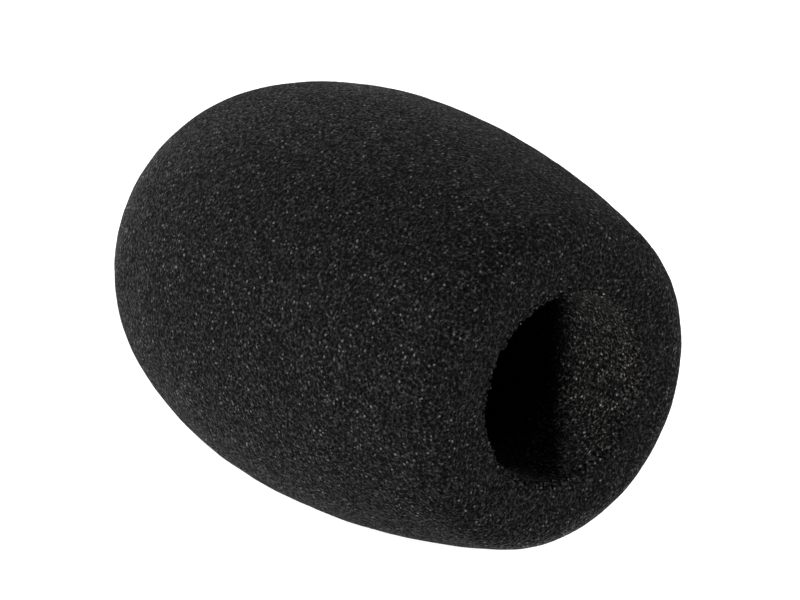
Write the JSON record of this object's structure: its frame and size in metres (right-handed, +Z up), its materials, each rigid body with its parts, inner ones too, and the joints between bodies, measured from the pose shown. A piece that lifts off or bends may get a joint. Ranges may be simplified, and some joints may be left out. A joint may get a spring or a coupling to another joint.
{
  "type": "microphone windscreen",
  "caption": "Egg-shaped microphone windscreen of open-cell foam, with a flat mouth, a soft lip and a round blind bore that pushes over the microphone's head.",
  "frame": {"origin": "on the bore's axis where its straight wall starts, 1.5 mm inside the mouth's flat ring", "axes": "+X along the bore and out of the mouth, Z up as the windscreen lies on its side, Y across it"},
  "size_m": [0.122, 0.086, 0.086],
  "materials": {
    "foam": "matte open-cell foam"
  },
  "bodies": {
    "root": {"foam_windscreen": "foam"}
  },
  "joints": []
}
